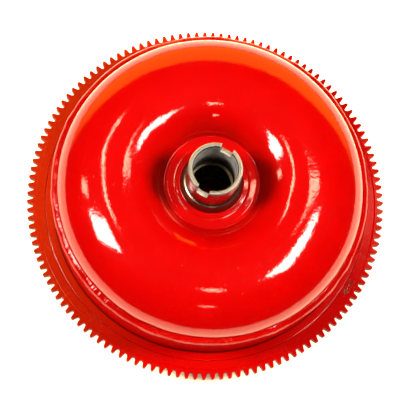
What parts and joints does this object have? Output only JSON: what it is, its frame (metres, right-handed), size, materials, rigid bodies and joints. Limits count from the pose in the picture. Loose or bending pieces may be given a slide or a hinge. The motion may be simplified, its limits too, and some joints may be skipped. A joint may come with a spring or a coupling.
{
  "type": "torque converter",
  "caption": "Welded fluid coupling with a toothed starter ring, a domed pump shell and a slotted drive hub, holding a turbine and a one-way stator.",
  "frame": {"origin": "centre of the crankshaft pilot's end face, which is the lowest point", "axes": "+Z along the converter's axis from the engine to the transmission; the two drive slots are on the Y axis"},
  "size_m": [0.3378, 0.3378, 0.148],
  "materials": {
    "red_paint": "gloss red enamel",
    "machined_steel": "turned and ground",
    "pressed_steel": "pressed sheet, oily",
    "hardened_steel": "ground",
    "spring_steel": "tempered strip",
    "cast_aluminium": "as cast",
    "bronze": "oiled bearing bronze"
  },
  "bodies": {
    "housing": {"balance_weight": "red_paint", "closure_weld": "red_paint", "crank_pilot": "machined_steel", "drain_plug": "machined_steel", "drive_pad_1": "red_paint", "drive_pad_2": "red_paint", "drive_pad_3": "red_paint", "drive_pad_4": "red_paint", "front_cover": "red_paint", "hub_weld": "red_paint", "impeller_hub": "machined_steel", "impeller_shell": "red_paint", "impeller_vane_ring": "pressed_steel", "ring_gear": "red_paint", "ring_gear_weld": "red_paint"},
    "turbine": {"turbine_hub": "machined_steel", "turbine_rivet_1": "pressed_steel", "turbine_rivet_2": "pressed_steel", "turbine_rivet_3": "pressed_steel", "turbine_rivet_4": "pressed_steel", "turbine_rivet_5": "pressed_steel", "turbine_rivet_6": "pressed_steel", "turbine_shell": "pressed_steel", "turbine_thrust_washer": "bronze", "turbine_vane_ring": "pressed_steel"},
    "stator": {"clutch_outer_race": "hardened_steel", "clutch_spring_1": "spring_steel", "clutch_spring_2": "spring_steel", "clutch_spring_3": "spring_steel", "clutch_spring_4": "spring_steel", "clutch_spring_5": "spring_steel", "clutch_spring_6": "spring_steel", "clutch_spring_7": "spring_steel", "clutch_spring_8": "spring_steel", "front_retainer": "pressed_steel", "front_snap_ring": "spring_steel", "front_thrust_washer": "bronze", "rear_retainer": "pressed_steel", "rear_snap_ring": "spring_steel", "rear_thrust_washer": "bronze", "stator_wheel": "cast_aluminium"},
    "inner_race": {"clutch_inner_race": "hardened_steel"},
    "roller_1": {"clutch_roller_1": "hardened_steel"},
    "roller_2": {"clutch_roller_2": "hardened_steel"},
    "roller_3": {"clutch_roller_3": "hardened_steel"},
    "roller_4": {"clutch_roller_4": "hardened_steel"},
    "roller_5": {"clutch_roller_5": "hardened_steel"},
    "roller_6": {"clutch_roller_6": "hardened_steel"},
    "roller_7": {"clutch_roller_7": "hardened_steel"},
    "roller_8": {"clutch_roller_8": "hardened_steel"}
  },
  "joints": [
    {"name": "turbine_spin", "type": "hinge", "parent": "housing", "child": "turbine", "pos_m": [0, 0, 0.06], "axis": [0, 0, 1], "continuous": true},
    {"name": "stator_spin", "type": "hinge", "parent": "housing", "child": "stator", "pos_m": [0, 0, 0.08], "axis": [0, 0, 1], "continuous": true},
    {"name": "inner_race_spin", "type": "hinge", "parent": "stator", "child": "inner_race", "pos_m": [0, 0, 0.08], "axis": [0, 0, 1], "continuous": true},
    {"name": "roller_1_spin", "type": "hinge", "parent": "stator", "child": "roller_1", "pos_m": [0.03235, 0, 0.08], "axis": [0, 0, 1], "continuous": true},
    {"name": "roller_2_spin", "type": "hinge", "parent": "stator", "child": "roller_2", "pos_m": [0.02287, 0.02287, 0.08], "axis": [0, 0, 1], "continuous": true},
    {"name": "roller_3_spin", "type": "hinge", "parent": "stator", "child": "roller_3", "pos_m": [0, 0.03235, 0.08], "axis": [0, 0, 1], "continuous": true},
    {"name": "roller_4_spin", "type": "hinge", "parent": "stator", "child": "roller_4", "pos_m": [-0.02287, 0.02287, 0.08], "axis": [0, 0, 1], "continuous": true},
    {"name": "roller_5_spin", "type": "hinge", "parent": "stator", "child": "roller_5", "pos_m": [-0.03235, 0, 0.08], "axis": [0, 0, 1], "continuous": true},
    {"name": "roller_6_spin", "type": "hinge", "parent": "stator", "child": "roller_6", "pos_m": [-0.02287, -0.02287, 0.08], "axis": [0, 0, 1], "continuous": true},
    {"name": "roller_7_spin", "type": "hinge", "parent": "stator", "child": "roller_7", "pos_m": [0, -0.03235, 0.08], "axis": [0, 0, 1], "continuous": true},
    {"name": "roller_8_spin", "type": "hinge", "parent": "stator", "child": "roller_8", "pos_m": [0.02287, -0.02287, 0.08], "axis": [0, 0, 1], "continuous": true}
  ],
  "couplings": [
    {"joint": "roller_1_spin", "follows": "inner_race_spin", "ratio": -6.6667},
    {"joint": "roller_2_spin", "follows": "inner_race_spin", "ratio": -6.6667},
    {"joint": "roller_3_spin", "follows": "inner_race_spin", "ratio": -6.6667},
    {"joint": "roller_4_spin", "follows": "inner_race_spin", "ratio": -6.6667},
    {"joint": "roller_5_spin", "follows": "inner_race_spin", "ratio": -6.6667},
    {"joint": "roller_6_spin", "follows": "inner_race_spin", "ratio": -6.6667},
    {"joint": "roller_7_spin", "follows": "inner_race_spin", "ratio": -6.6667},
    {"joint": "roller_8_spin", "follows": "inner_race_spin", "ratio": -6.6667}
  ]
}
